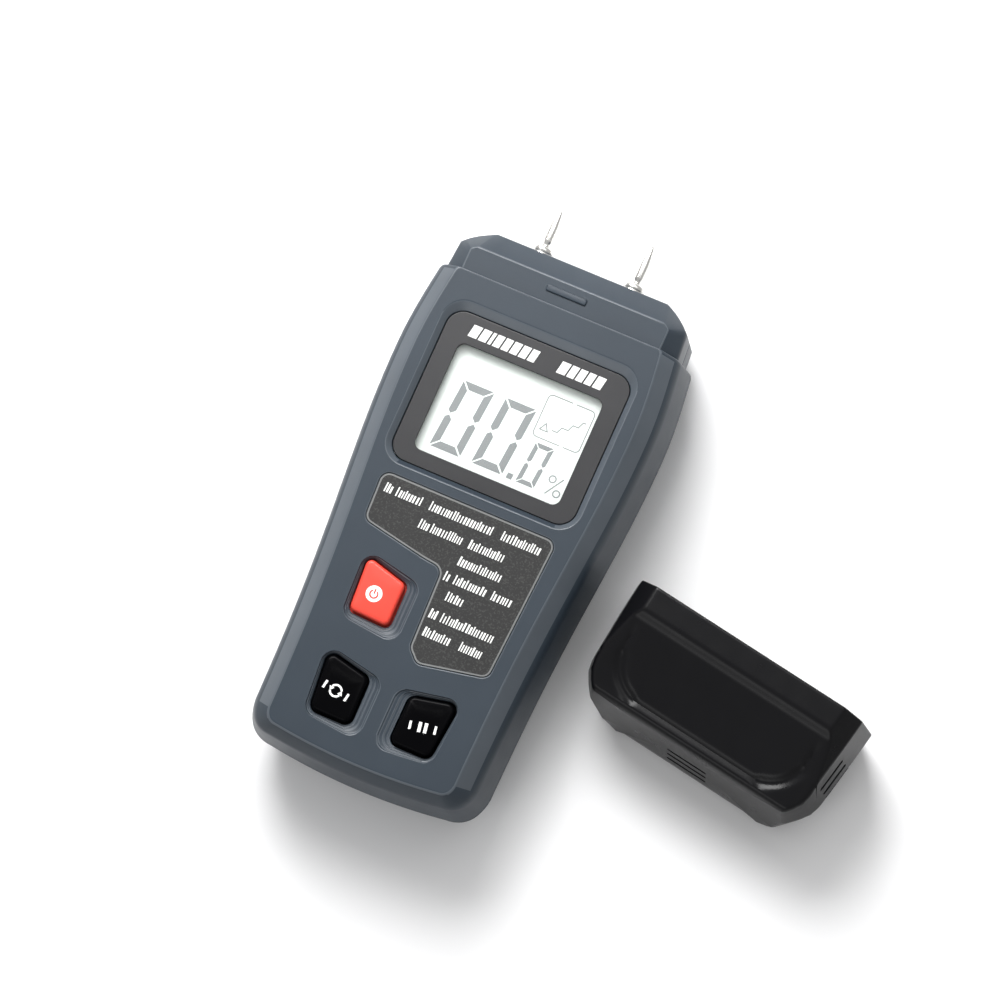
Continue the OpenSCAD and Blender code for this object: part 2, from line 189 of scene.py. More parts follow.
def finishMesh(bm, name, material, angle=34):
    bmesh.ops.remove_doubles(bm, verts=bm.verts, dist=0.000002)
    bmesh.ops.dissolve_degenerate(bm, edges=bm.edges, dist=0.000001)
    bmesh.ops.recalc_face_normals(bm, faces=bm.faces)
    mesh = bpy.data.meshes.new(name)
    bm.to_mesh(mesh)
    bm.free()
    shade(mesh, angle)
    piece = bpy.data.objects.new(name, mesh)
    bpy.context.collection.objects.link(piece)
    mesh.materials.append(material)
    return piece


def prism(name, outline, low, high, material, edge=0.15, angle=34):
    # a flat plate with rounded edges top and bottom
    inner = shrink(outline, edge)
    rings = [level(inner, low)]
    for k in range(1, 4):
        t = k / 3 * pi / 2
        rings.append(level(mixOutlines(inner, outline, sin(t)), low + edge * (1 - cos(t))))
    for k in range(3, -1, -1):
        t = k / 3 * pi / 2
        rings.append(level(mixOutlines(inner, outline, sin(t)), high - edge * (1 - cos(t))))
    bm = bmesh.new()
    rows = stack(bm, [level(shrink(outline, edge + 0.05), low)] + rings
                 + [level(shrink(outline, edge + 0.05), high)])
    flatFill(bm, [rows[0]])
    flatFill(bm, [rows[-1]])
    return finishMesh(bm, name, material, angle)


def shrink(outline, amount):
    # each point of a dense outline moves inwards along its own normal
    out = []
    count = len(outline)
    area = sum(outline[i - 1][0] * outline[i][1] - outline[i][0] * outline[i - 1][1] for i in range(count))
    side = 1 if area > 0 else -1
    for i in range(count):
        a = Vector(outline[i - 1])
        b = Vector(outline[(i + 1) % count])
        d = (b - a).normalized()
        out.append((outline[i][0] - d.y * amount * side, outline[i][1] + d.x * amount * side))
    return out


def lathe(name, profile, centre, axis, material, steps=48, angle=34):
    # profile is (radius, distance along the axis)
    bm = bmesh.new()
    rings = []
    for r, h in profile:
        ring = []
        for k in range(steps):
            t = 2 * pi * k / steps
            c, s = cos(t) * max(r, 0.002), sin(t) * max(r, 0.002)
            if axis == "y":
                ring.append((centre[0] + c, centre[1] + h, centre[2] + s))
            else:
                ring.append((centre[0] + c, centre[1] + s, centre[2] + h))
        rings.append(ring)
    rows = stack(bm, rings)
    bm.faces.new(rows[0])
    bm.faces.new(rows[-1])
    return finishMesh(bm, name, material, angle)


def cutWith(piece, cutters, angle=34):
    # takes the cutters' shapes out of a piece and keeps the result as its mesh
    for cutter in cutters:
        modifier = piece.modifiers.new("cut", "BOOLEAN")
        modifier.operation = "DIFFERENCE"
        modifier.solver = "EXACT"
        modifier.object = cutter
    depsgraph = bpy.context.evaluated_depsgraph_get()
    mesh = bpy.data.meshes.new_from_object(piece.evaluated_get(depsgraph))
    piece.modifiers.clear()
    piece.data = mesh
    for cutter in cutters:
        bpy.data.objects.remove(cutter)
    shade(mesh, angle)


def softNormals(piece):
    modifier = piece.modifiers.new("normals", "WEIGHTED_NORMAL")
    modifier.keep_sharp = True
    modifier.weight = 80


def keep(piece, body, slotName, *nodes):
    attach(piece, body)
    if nodes:
        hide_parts(*nodes)
    return piece


def plasticFinish(name, look):
    # moulded plastic: faint colour drift, fine texture, patchy gloss
    material = bpy.data.materials.new(name)
    material.use_nodes = True
    nodes = material.node_tree.nodes
    links = material.node_tree.links
    shader = nodes["Principled BSDF"]
    place = nodes.new("ShaderNodeTexCoord")
    drift = nodes.new("ShaderNodeTexNoise")
    drift.inputs["Scale"].default_value = look.get("driftScale", 60)
    drift.inputs["Detail"].default_value = 3
    links.new(place.outputs["Object"], drift.inputs["Vector"])
    tones = nodes.new("ShaderNodeValToRGB")
    base = look["colour"]
    spread = look.get("spread", 0.06)
    tones.color_ramp.elements[0].position = 0.3
    tones.color_ramp.elements[1].position = 0.7
    tones.color_ramp.elements[0].color = (*[c * (1 - spread) for c in base], 1)
    tones.color_ramp.elements[1].color = (*[c * (1 + spread) for c in base], 1)
    links.new(drift.outputs["Fac"], tones.inputs["Fac"])
    colour = tones.outputs["Color"]
    if "fleck" in look:
        specks = nodes.new("ShaderNodeTexNoise")
        specks.inputs["Scale"].default_value = look.get("fleckScale", 2600)
        specks.inputs["Detail"].default_value = 1
        links.new(place.outputs["Object"], specks.inputs["Vector"])
        pick = nodes.new("ShaderNodeValToRGB")
        pick.color_ramp.elements[0].position = 0.52
        pick.color_ramp.elements[1].position = 0.68
        links.new(specks.outputs["Fac"], pick.inputs["Fac"])
        blend = nodes.new("ShaderNodeMixRGB")
        blend.inputs["Color2"].default_value = (*look["fleck"], 1)
        links.new(pick.outputs["Color"], blend.inputs["Fac"])
        links.new(colour, blend.inputs["Color1"])
        colour = blend.outputs["Color"]
    links.new(colour, shader.inputs["Base Color"])
    patches = nodes.new("ShaderNodeTexNoise")
    patches.inputs["Scale"].default_value = look.get("patchScale", 220)
    patches.inputs["Detail"].default_value = 4
    links.new(place.outputs["Object"], patches.inputs["Vector"])
    gloss = nodes.new("ShaderNodeMapRange")
    gloss.inputs["To Min"].default_value = look["rough"][0]
    gloss.inputs["To Max"].default_value = look["rough"][1]
    links.new(patches.outputs["Fac"], gloss.inputs["Value"])
    links.new(gloss.outputs["Result"], shader.inputs["Roughness"])
    grain = nodes.new("ShaderNodeTexNoise")
    grain.inputs["Scale"].default_value = look.get("grainScale", 3200)
    grain.inputs["Detail"].default_value = 2
    links.new(place.outputs["Object"], grain.inputs["Vector"])
    bump = nodes.new("ShaderNodeBump")
    bump.inputs["Strength"].default_value = look.get("grain", 0.2)
    bump.inputs["Distance"].default_value = 0.00005
    links.new(grain.outputs["Fac"], bump.inputs["Height"])
    links.new(bump.outputs["Normal"], shader.inputs["Normal"])
    shader.inputs["Metallic"].default_value = look.get("metal", 0)
    shader.inputs["Specular IOR Level"].default_value = look.get("shine", 0.5)
    shader.inputs["Coat Weight"].default_value = look.get("coat", 0)
    shader.inputs["Coat Roughness"].default_value = look.get("coatRough", 0.1)
    return material


def clearFinish(name, tint, roughness):
    # clear moulding with faint smears; light passes straight through it
    material = bpy.data.materials.new(name)
    material.use_nodes = True
    nodes = material.node_tree.nodes
    links = material.node_tree.links
    shader = nodes["Principled BSDF"]
    place = nodes.new("ShaderNodeTexCoord")
    smear = nodes.new("ShaderNodeTexNoise")
    smear.inputs["Scale"].default_value = 90
    links.new(place.outputs["Object"], smear.inputs["Vector"])
    spread = nodes.new("ShaderNodeMapRange")
    spread.inputs["To Min"].default_value = roughness
    spread.inputs["To Max"].default_value = roughness + 0.05
    links.new(smear.outputs["Fac"], spread.inputs["Value"])
    links.new(spread.outputs["Result"], shader.inputs["Roughness"])
    shader.inputs["Base Color"].default_value = (*tint, 1)
    shader.inputs["Alpha"].default_value = 0.08
    shader.inputs["Specular IOR Level"].default_value = 0.35
    return material


finishes = {
    "slate": plasticFinish("slateHousing", {
        "colour": (0.025, 0.035, 0.047), "spread": 0.05, "rough": (0.36, 0.46), "grain": 0.22,
        "shine": 0.28}),
    # painted highlight: a paler slate for the rounded edges near the face
    "slateEdgeHighlight": plasticFinish("slateEdgeHighlight", {
        "colour": (0.066, 0.079, 0.094), "spread": 0.08, "rough": (0.3, 0.42), "grain": 0.15}),
    "slateDoor": plasticFinish("slateDoor", {
        "colour": (0.031, 0.041, 0.054), "spread": 0.05, "rough": (0.42, 0.55), "grain": 0.22,
        "shine": 0.45}),
    "mask": plasticFinish("windowPrint", {
        "colour": (0.022, 0.022, 0.024), "spread": 0.05, "rough": (0.3, 0.4), "grain": 0.05,
        "shine": 0.35}),
    "label": plasticFinish("labelPrint", {
        "colour": (0.016, 0.016, 0.016), "spread": 0.08, "rough": (0.5, 0.62), "grain": 0.25,
        "fleck": (0.036, 0.036, 0.035), "fleckScale": 2600, "shine": 0.3}),
    "line": plasticFinish("labelLine", {
        "colour": (0.13, 0.135, 0.135), "spread": 0.08, "rough": (0.45, 0.6), "grain": 0.1}),
    "print": plasticFinish("paleInk", {
        "colour": (0.78, 0.78, 0.76), "spread": 0.04, "rough": (0.4, 0.55), "grain": 0.08}),
    "whiteInk": plasticFinish("whiteInk", {
        "colour": (0.95, 0.95, 0.94), "spread": 0.02, "rough": (0.35, 0.5), "grain": 0.05}),
    "red": plasticFinish("redKey", {
        "colour": (0.7, 0.055, 0.034), "spread": 0.06, "rough": (0.3, 0.42), "grain": 0.12,
        "shine": 0.35}),
    "blackKey": plasticFinish("blackKey", {
        "colour": (0.0012, 0.0012, 0.0016), "spread": 0.1, "rough": (0.16, 0.24), "grain": 0.08,
        "shine": 0.04}),
    "cap": plasticFinish("capShell", {
        "colour": (0.003, 0.003, 0.0038), "spread": 0.12, "rough": (0.24, 0.34), "grain": 0.16,
        "shine": 0.2}),
    "lcd": plasticFinish("displayBack", {
        "colour": (0.72, 0.79, 0.75), "spread": 0.015, "driftScale": 12, "rough": (0.4, 0.5), "grain": 0.03}),
    "segment": plasticFinish("displaySegment", {
        "colour": (0.07, 0.085, 0.09), "spread": 0.05, "rough": (0.4, 0.5), "grain": 0.03}),
    "faintSegment": plasticFinish("displayFaint", {
        "colour": (0.12, 0.14, 0.14), "spread": 0.05, "rough": (0.4, 0.5), "grain": 0.03}),
    "pin": plasticFinish("pinSteel", {
        "colour": (0.78, 0.77, 0.74), "spread": 0.05, "rough": (0.16, 0.3), "metal": 1,
        "grain": 0.12, "grainScale": 900}),
    "whitePlastic": plasticFinish("whiteFrame", {
        "colour": (0.72, 0.72, 0.7), "rough": (0.4, 0.5), "grain": 0.1}),
    "rubber": plasticFinish("contactRubber", {
        "colour": (0.5, 0.22, 0.25), "rough": (0.6, 0.75), "grain": 0.3}),
    "board": plasticFinish("boardGreen", {
        "colour": (0.015, 0.11, 0.045), "rough": (0.3, 0.45), "grain": 0.3, "fleck": (0.02, 0.15, 0.06),
        "fleckScale": 700}),
    "chip": plasticFinish("chipBlack", {
        "colour": (0.015, 0.015, 0.016), "rough": (0.5, 0.65), "grain": 0.35}),
    "parts": plasticFinish("smallParts", {
        "colour": (0.22, 0.16, 0.09), "rough": (0.4, 0.55), "grain": 0.3}),
    "brass": plasticFinish("springBrass", {
        "colour": (0.75, 0.55, 0.25), "rough": (0.25, 0.4), "metal": 1, "grain": 0.15, "grainScale": 900}),
    "steel": plasticFinish("screwSteel", {
        "colour": (0.55, 0.54, 0.52), "rough": (0.25, 0.4), "metal": 1, "grain": 0.15, "grainScale": 900}),
    "batterySkin": plasticFinish("batterySkin", {
        "colour": (0.09, 0.1, 0.12), "spread": 0.1, "rough": (0.28, 0.38), "grain": 0.1, "coat": 0.3}),
    "foam": plasticFinish("padFoam", {
        "colour": (0.03, 0.03, 0.03), "rough": (0.85, 0.95), "grain": 0.9, "grainScale": 1400,
        "fleck": (0.07, 0.07, 0.07), "fleckScale": 1500}),
    "clear": clearFinish("clearWindow", (0.98, 1, 0.99), 0.04),
}
print("finishes made:", len(finishes))


housing = {
    "thick": 28, "partZ": 14, "waistHalf": 27.6, "swell": 4.2, "peakY": 30, "runLow": 44, "runHigh": 26.7,
    "shoulderY": 50, "bottomY": -61, "crown": 1.7, "skin": 1.3,
    "ridgeRound": 0.9, "bevelRound": 5, "shoulderRound": 0.35,
    "noseHalf": 27.4, "noseTop": 26.4, "noseBack": 1.6, "noseEnd": 61, "noseRound": 0.7,
}


def bodyHalf(y):
    h = housing
    run = h["runLow"] if y < h["peakY"] else h["runHigh"]
    return h["waistHalf"] + h["swell"] * exp(-((y - h["peakY"]) / run) ** 2)


def bodyRing(side, end, top, corner):
    # one closed ring around the housing; side, end and top are (inset, height) there
    h = housing
    sideIn, sideZ = side
    endIn, endZ = end
    topIn, topZ = top
    topY = h["shoulderY"] - topIn
    endY = h["bottomY"] + endIn
    shoulder = 0.9
    cornerY = endY + corner * 1.15 + 1
    right = []
    edgeX = bodyHalf(topY) - sideIn
    for k in range(7):
        right.append(((edgeX - shoulder) * k / 6, topY, topZ))
    for k in range(1, 5):
        t = k / 5
        x = (1 - t) ** 2 * (edgeX - shoulder) + (2 * t - t * t) * edgeX
        y = (1 - t * t) * topY + t * t * (topY - shoulder)
        right.append((x, y, mix(topZ, sideZ, smooth(t))))
    for k in range(33):
        y = mix(topY - shoulder, cornerY, k / 32)
        right.append((bodyHalf(y) - sideIn, y, sideZ))
    x0 = bodyHalf(cornerY) - sideIn
    x2 = x0 - corner
    y2 = endY + h["crown"] * (x2 / 22) ** 2
    for k in range(1, 12):
        t = k / 12
        x = (1 - t) ** 2 * x0 + 2 * t * (1 - t) * (x0 - 0.12 * corner) + t * t * x2
        y = (1 - t) ** 2 * cornerY + 2 * t * (1 - t) * (y2 + 0.04 * corner) + t * t * y2
        right.append((x, y, mix(sideZ, endZ, smooth(t))))
    for k in range(9):
        x = x2 * (1 - k / 9)
        right.append((x, endY + h["crown"] * (x / 22) ** 2, endZ))
    right.append((0, endY, endZ))
    left = [(-x, y, z) for x, y, z in right[-2:0:-1]]
    return right + left


def levelsFrom(sidePath, endPath, topPath, corners):
    # the corner grows from the flat face out to the parting
    deepest = max(point[0] for point in sidePath)
    rings = []
    for side, end, top in zip(sidePath, endPath, topPath):
        rings.append(bodyRing(side, end, top, mix(corners[1], corners[0], side[0] / deepest)))
    return rings


def frontLevels():
    h = housing
    z = h["thick"]
    radii = (h["ridgeRound"], h["bevelRound"])
    part = h["partZ"]
    side = filletPath([(8, z), (6, z), (1.9, z - 4), (0, part + 0.3), (0.2, part + 0.03)], (*radii, 0.1))
    end = filletPath([(5.2, z), (3.1, z), (0.9, z - 3.8), (0, part + 0.3), (0.2, part + 0.03)],
                     (h["ridgeRound"], 3, 0.1))
    count = len(side) - 1
    top = [(h["shoulderRound"], z)]
    for k in range(1, count):
        t = min(1, k / 5) * pi / 2
        top.append((h["shoulderRound"] * (1 - sin(t)), z - h["shoulderRound"] * (1 - cos(t))))
    side = side[1:]
    end = end[1:]
    drop = 1.7
    for k in range(6, count):
        top[k] = (0, min(side[k][1], z - drop))
    top[-1] = (0.2, part + 0.03)
    support = bodyRing((side[0][0] + 0.07, z), (end[0][0] + 0.07, z), (top[0][0] + 0.07, z), 2.55)
    return [support] + levelsFrom(side, end, top, (2.6, 7.2))


def noseRing(side, end, corner):
    h = housing
    sideIn, sideZ = side
    endIn, endZ = end
    edge = h["noseHalf"] - sideIn
    endY = h["noseEnd"] - endIn
    right = []
    x0 = edge - 0.6 * (1 - endIn / 5.2)
    y0 = endY - max(0.8, corner * 0.72)
    x2 = x0 - corner
    for k in range(8):
        right.append((x2 * k / 8, endY, endZ))
    for k in range(9):
        t = k / 8
        bow = 0.5
        mx, my = mix(x2, x0, bow), mix(endY, y0, bow)
        mx, my = mix(mx, x0, 0.22), mix(my, endY, 0.22)
        x = (1 - t) ** 2 * x2 + 2 * t * (1 - t) * mx + t * t * x0
        y = (1 - t) ** 2 * endY + 2 * t * (1 - t) * my + t * t * y0
        right.append((x, y, mix(endZ, sideZ, smooth(t))))
    for k in range(1, 7):
        y = mix(y0, h["shoulderY"] - 1.2, k / 6)
        right.append((mix(x0, edge, k / 6), y, sideZ))
    left = [(-x, y, z) for x, y, z in right[:0:-1]]
    return left + right


def noseLevels(top, towards):
    # top is the nose's flat face, towards the side on which the parting lies
    h = housing
    s = 1 if towards < top else -1
    radius = h["noseRound"]
    near = towards + 0.03 * s
    lip = [(0, near + 0.27 * s), (0.2, near)]
    side = filletPath([(7, top), (4.2, top), (0, top - 4 * s)] + lip, (radius, 2.2, 0.1))
    end = filletPath([(8, top), (5.2, top), (0, top - 5.2 * s)] + lip, (radius, 1.2, 0.1))
    side, end = side[1:], end[1:]
    count = len(side)
    rings = [noseRing((side[0][0] + 0.07, top), (end[0][0] + 0.07, top), 0.95)]
    for i in range(count):
        rings.append(noseRing(side[i], end[i], mix(6.8, 1, side[i][0] / side[0][0])))
    return rings


def addNose(bm, top, towards):
    rows = stack(bm, noseLevels(top, towards))
    flatFill(bm, [rows[0]])
    return rows


# the three keys, each with its place, its outline and the outline of the dish round it
keys = {
    "power": {"at": (-10.4, -22), "shape": [(-5.1, 6.4), (4.7, 3.8), (4.8, -6), (-4.3, -5.6)], "round": 1.3,
              "well": [(-6.2, 7.8), (8, 5), (8, -9), (-5.6, -7.6)], "mirror": 1},
    "mode": {"at": (-9.6, -44.6), "shape": [(-5.3, 7.1), (4.9, 4.9), (5, -5.8), (-4, -5.8)], "round": 1.6,
             "well": [(-6.4, 8.4), (8.2, 5.6), (8.2, -8.4), (-5.2, -7.2)], "mirror": 1},
    "hold": {"at": (10, -44.6), "shape": [(-5.3, 7.1), (4.9, 4.9), (5, -5.8), (-4, -5.8)], "round": 1.6,
             "well": [(-6.4, 8.4), (8.2, 5.6), (8.2, -8.4), (-5.2, -7.2)], "mirror": -1},
}
keyLook = {"top": 28.7, "low": 24.75, "gap": 0.45, "edge": 0.75, "skirt": 0.9, "crown": 0.2, "bulge": 0.08}
windowLook = {
    "half": 21.5, "low": 6.4, "high": 41.8, "rimHalf": 22.9, "rimLow": 5.1, "rimHigh": 44,
    "maskTop": 26.7, "maskLow": 26, "ledge": 25.2, "viewHalf": 17, "viewLow": 10.1, "viewHigh": 35.1,
}
labelLook = {
    "shape": [(-20.4, 2.9), (20.4, 2.9), (18.8, -29.9), (3.4, -33), (0.6, -30.2), (0, -12), (-5, -11.4),
              (-19.9, -8.6)],
    "round": 2.2, "gap": 0.1, "low": 27.71, "high": 27.95, "rimIn": 0.25, "rimWidth": 0.36,
    "slant": 0.12, "firstTall": 2.1, "talls": (1.6, 1.6, 1.65, 2), "pens": (0.28, 0.3, 0.42),
    "spaces": (0.26, 0.3, 0.4), "seed": 7,
    # each line: its middle, then where each word starts and stops
    "lines": [
        (-0.5, ((-18.5, -16.2), (-15.8, -9.6), (-7.9, 6.9), (8.9, 18.1))),
        (-4.9, ((-8.5, -6.2), (-5.7, 1.9), (3.2, 11.6))),
        (-9.1, ((2.6, 12.8),)),
        (-13.2, ((1.1, 2.9), (3.4, 11), (12.2, 17))),
        (-17.1, ((3.3, 7.6),)),
        (-21.8, ((1.5, 3.6), (4.2, 16.8))),
        (-25.9, ((1.9, 8.4), (10.4, 15.7))),
    ],
}


def placed(outline, key):
    return [(key["at"][0] + x * key["mirror"], key["at"][1] + y) for x, y in outline]


def addWell(bm, key):
    # stepped dish around a key, three soft terraces that run out at the upper left
    z = housing["thick"]
    gap = keyLook["gap"]
    outer = placed(roundedOutline(key["well"], 3, 9), key)
    hole = placed(roundedOutline(grownOutline(key["shape"], gap), key["round"] + gap, 9), key)
    steps = [(-0.05, 0), (-0.02, 0), (0.02, 0.02), (0.07, 0.09), (0.12, 0.24), (0.17, 0.38), (0.22, 0.44),
             (0.42, 0.48), (0.46, 0.51), (0.5, 0.6), (0.54, 0.7), (0.58, 0.74), (0.74, 0.77), (0.78, 0.8),
             (0.82, 0.88), (0.86, 0.96), (0.9, 0.99), (0.96, 1.03), (0.99, 1.14), (1, 1.3), (1, 2.4), (1, 3)]
    rings = [level(mixOutlines(outer, hole, f), z - d) for f, d in steps]
    return stack(bm, rings)[0]


def addWindow(bm):
    w = windowLook
    z = housing["thick"]
    rim = roundedOutline(boxOutline(-w["rimHalf"], w["rimHalf"], w["rimLow"], w["rimHigh"]), 5.2, 9)
    edge = roundedOutline(boxOutline(-w["half"], w["half"], w["low"], w["high"]), 4, 9)
    steps = [(-0.06, 0), (-0.01, 0), (0.06, 0.02), (0.14, 0.08), (0.24, 0.2), (0.82, 0.98), (0.92, 1.12),
             (0.98, 1.24), (1, 1.4), (1, 2.1), (1, 2.8)]
    rings = [level(mixOutlines(rim, edge, f), z - d) for f, d in steps]
    return stack(bm, rings)[0]


def addLabelPocket(bm):
    z = housing["thick"]
    edge = roundedOutline(labelLook["shape"], labelLook["round"], 7)
    steps = [(-0.32, 0), (-0.26, 0), (-0.2, 0.02), (-0.06, 0.1), (0, 0.22)]
    rings = [level(shrink(edge, out), z - d) for out, d in steps] + [level(edge, z - 0.3)]
    rows = stack(bm, rings)
    flatFill(bm, [rows[-1]])
    return rows[0]


def paintEdgeHighlights(piece, finish, low, high):
    # the narrow rounded edges near the face are painted a little paler than the flats, a painted highlight
    # along the fillets
    piece.data.materials.append(finish)
    for face in piece.data.polygons:
        z = face.center.z / mm
        if low < z < high and 0.7 < face.normal.z < 0.985:
            face.material_index = 1


def makeFrontShell():
    h = housing
    bm = bmesh.new()
    rows = stack(bm, frontLevels())
    holes = [addWindow(bm), addLabelPocket(bm)]
    for name in keys:
        holes.append(addWell(bm, keys[name]))
    flatFill(bm, [rows[0]] + holes)
    addNose(bm, h["noseTop"], h["partZ"])
    shell = finishMesh(bm, "frontShell", finishes["slate"], 40)
    # the rounded edges near the face get the painted highlight finish
    paintEdgeHighlights(shell, finishes["slateEdgeHighlight"], 26, 27.995)
    skin = shell.modifiers.new("skin", "SOLIDIFY")
    skin.thickness = h["skin"] * mm
    skin.offset = -1
    return shell


frontShell = makeFrontShell()
keep(frontShell, "meter", "case_plastic", "front_case")
print("front shell made")


def rearLevels():
    h = housing
    side = filletPath([(0.2, 13.97), (0, 13.7), (1.9, 6), (3.6, 1.4), (5.4, 0), (7.4, 0)], (0.1, 6, 1.6, 1.2))
    end = filletPath([(0.2, 13.97), (0, 13.7), (1.8, 6), (3.4, 1.4), (5, 0), (7, 0)], (0.1, 6, 1.6, 1.2))
    side, end = side[:-1], end[:-1]
    count = len(side)
    rings = []
    for i in range(count):
        z = side[i][1]
        f = max(0, 1 - z / 0.4)
        top = (h["shoulderRound"] * (1 - (1 - f * f) ** 0.5), z)
        if i == 0:
            top = (0.2, z)
        rings.append(bodyRing(side[i], end[i], top, mix(7.2, 4.5, side[i][0] / 5.8)))
    rings.append(bodyRing((side[-1][0] + 0.07, 0), (end[-1][0] + 0.07, 0), (0.45, 0), 4.45))
    inner = [(7.2, 1.8), (5.6, 2.6), (3.7, 6), (1.8, 14)]
    inside = [bodyRing(p, (p[0] - 0.2, p[1]), (1.8, p[1]), 5.5) for p in inner]
    return inside + rings


def cutterBox(x0, x1, y0, y1, z0, z1):
    bm = bmesh.new()
    rows = stack(bm, [level(boxOutline(x0, x1, y0, y1), z) for z in (z0, z1)])
    bm.faces.new(rows[0])
    bm.faces.new(rows[1])
    return finishMesh(bm, "cutter", finishes["slate"])


def cutterRound(x, y, radius, z0, z1):
    return lathe("cutter", [(radius, z0), (radius, z1)], (x, y, 0), "z", finishes["slate"], 40)


rear = {
    "doorHalf": 15.1, "slotHalf": 16.7, "doorTop": -4.2, "slotTop": -2.8,
    "screws": [(21.6, 46.8), (19.5, -51)], "headBore": 2.55, "shankBore": 1.5, "boss": 3.4,
    "headLow": 1.75, "headFloor": 2.62, "railIn": 15.4, "railOut": 17,
}


def makeRearShell():
    h = housing
    r = rear
    bm = bmesh.new()
    rows = stack(bm, rearLevels())
    flatFill(bm, [rows[0]])
    flatFill(bm, [rows[-1]])
    shell = finishMesh(bm, "rearShell", finishes["slate"], 40)
    cutters = [cutterBox(-r["doorHalf"], r["doorHalf"], -65, r["doorTop"], -1, 3),
               cutterBox(-r["slotHalf"], r["slotHalf"], -65, r["slotTop"], 2, 3.8)]
    for s in (-1, 1):
        for x, y in r["screws"]:
            cutters.append(cutterRound(s * x, y, r["headBore"], -1, 5))
    cutWith(shell, cutters, 40)
    softNormals(shell)
    nose = bmesh.new()
    addNose(nose, h["noseBack"], h["partZ"])
    rearNose = finishMesh(nose, "rearNose", finishes["slate"], 40)
    skin = rearNose.modifiers.new("skin", "SOLIDIFY")
    skin.thickness = h["skin"] * mm
    skin.offset = -1
    return shell, rearNose


rearShell, rearNose = makeRearShell()
keep(rearShell, "meter", "case_plastic", "rear_case")
keep(rearNose, "meter", "case_plastic", "rear_case")


def makeBayWalls():
    # the two rails beside the battery, the stop above it, and the screw bosses
    r = rear
    near, far = r["railIn"], r["railOut"]
    walls = [(-far, -near, -57, 1.6, 3.85), (near, far, -57, 1.6, 3.85), (-far, far, 0.8, 2.4, 1.9)]
    bm = bmesh.new()
    for x0, x1, y0, y1, z0 in walls:
        rows = stack(bm, [level(boxOutline(x0, x1, y0, y1), z) for z in (z0, 13.9)])
        bm.faces.new(rows[0])
        bm.faces.new(rows[1])
    head = r["headBore"] + 0.01
    tube = [(r["boss"], 13.8), (r["boss"], r["headLow"]), (head, r["headLow"]), (head, r["headFloor"]),
            (r["shankBore"], r["headFloor"]), (r["shankBore"], 13.8)]
    for s in (-1, 1):
        for x, y in r["screws"]:
            rings = []
            for radius, z in tube:
                rings.append([(s * x + radius * cos(k * pi / 20), y + radius * sin(k * pi / 20), z)
                              for k in range(40)])
            rows = stack(bm, rings)
            joinRings(bm, rows[-1], rows[0])
    return finishMesh(bm, "bayWalls", finishes["slate"], 30)


keep(makeBayWalls(), "meter", "case_plastic", "rear_case")
print("rear shell made")


catch = {"half": 4.7, "low": 52.6, "high": 54, "base": 26.38, "rise": 0.42}


def makeCatch():
    # a low wedge on the nose that holds the cap, with soft edges
    c = catch
    bm = bmesh.new()
    rings = []
    for inset, up in ((0, 0), (0, 0.22), (0.05, 0.33), (0.16, 0.4), (0.3, c["rise"])):
        side = c["half"] - inset
        outline = boxOutline(-side, side, c["low"] + inset, c["high"] - inset * 0.5)
        rings.append(level(roundedOutline(outline, 0.3, 4), c["base"] + up))
    rows = stack(bm, rings)
    flatFill(bm, [rows[-1]])
    flatFill(bm, [rows[0]])
    return finishMesh(bm, "capCatch", finishes["slate"], 50)


keep(makeCatch(), "meter", "case_plastic", "front_case")


# flat marks are thin raised plates made from outlines
def plates(name, outlines, low, high, material):
    bm = bmesh.new()
    for outline in outlines:
        bottom = addRing(bm, level(outline, low))
        top = addRing(bm, level(outline, high))
        joinRings(bm, bottom, top)
        bm.faces.new(top)
        bm.faces.new(bottom)
    return finishMesh(bm, name, material, 30)


def ribbon(points, width, closed=False):
    # quads along a line of points, with mitred corners, as a list of outlines
    count = len(points)
    left, right = [], []
    for i in range(count):
        here = Vector(points[i])
        before = Vector(points[i - 1]) if i > 0 or closed else None
        after = Vector(points[(i + 1) % count]) if i < count - 1 or closed else None
        d1 = (here - before).normalized() if before else (after - here).normalized()
        d2 = (after - here).normalized() if after else d1
        d = (d1 + d2).normalized()
        n = Vector((-d.y, d.x))
        reach = width / 2 / max(0.4, n.dot(Vector((-d1.y, d1.x))))
        left.append(tuple(here + n * reach))
        right.append(tuple(here - n * reach))
    quads = []
    for i in range(count if closed else count - 1):
        m = (i + 1) % count
        quads.append([right[i], right[m], left[m], left[i]])
    return quads


def arc(cx, cy, radius, start, stop, steps=24):
    return [(cx + radius * cos(radians(mix(start, stop, k / steps))),
             cy + radius * sin(radians(mix(start, stop, k / steps)))) for k in range(steps + 1)]


def makeWindow():
    w = windowLook
    gap = 0.12
    half = w["half"] - gap
    outer = roundedOutline(boxOutline(-half, half, w["low"] + gap, w["high"] - gap), 3.9, 8)
    view = roundedOutline(boxOutline(-w["viewHalf"], w["viewHalf"], w["viewLow"], w["viewHigh"]), 1.8, 8)
    top, low = w["maskTop"], w["maskLow"] + 0.02
    bm = bmesh.new()
    rings = [level(outer, low), level(outer, top - 0.12), level(shrink(outer, 0.04), top - 0.03),
             level(shrink(outer, 0.14), top), level(shrink(outer, 0.2), top),
             level(shrink(view, -0.16), top), level(shrink(view, -0.1), top),
             level(shrink(view, -0.03), top - 0.03), level(view, top - 0.1), level(view, low)]
    rows = stack(bm, rings)
    joinRings(bm, rows[-1], rows[0])
    mask = finishMesh(bm, "windowMask", finishes["mask"], 60)
    keep(mask, "meter", "mask_print", "window_mask")
    lens = prism("clearLens", outer, w["ledge"] + 0.02, w["maskLow"] - 0.02, finishes["clear"], 0.1)
    keep(lens, "meter", "clear_lens", "display_lens")


makeWindow()

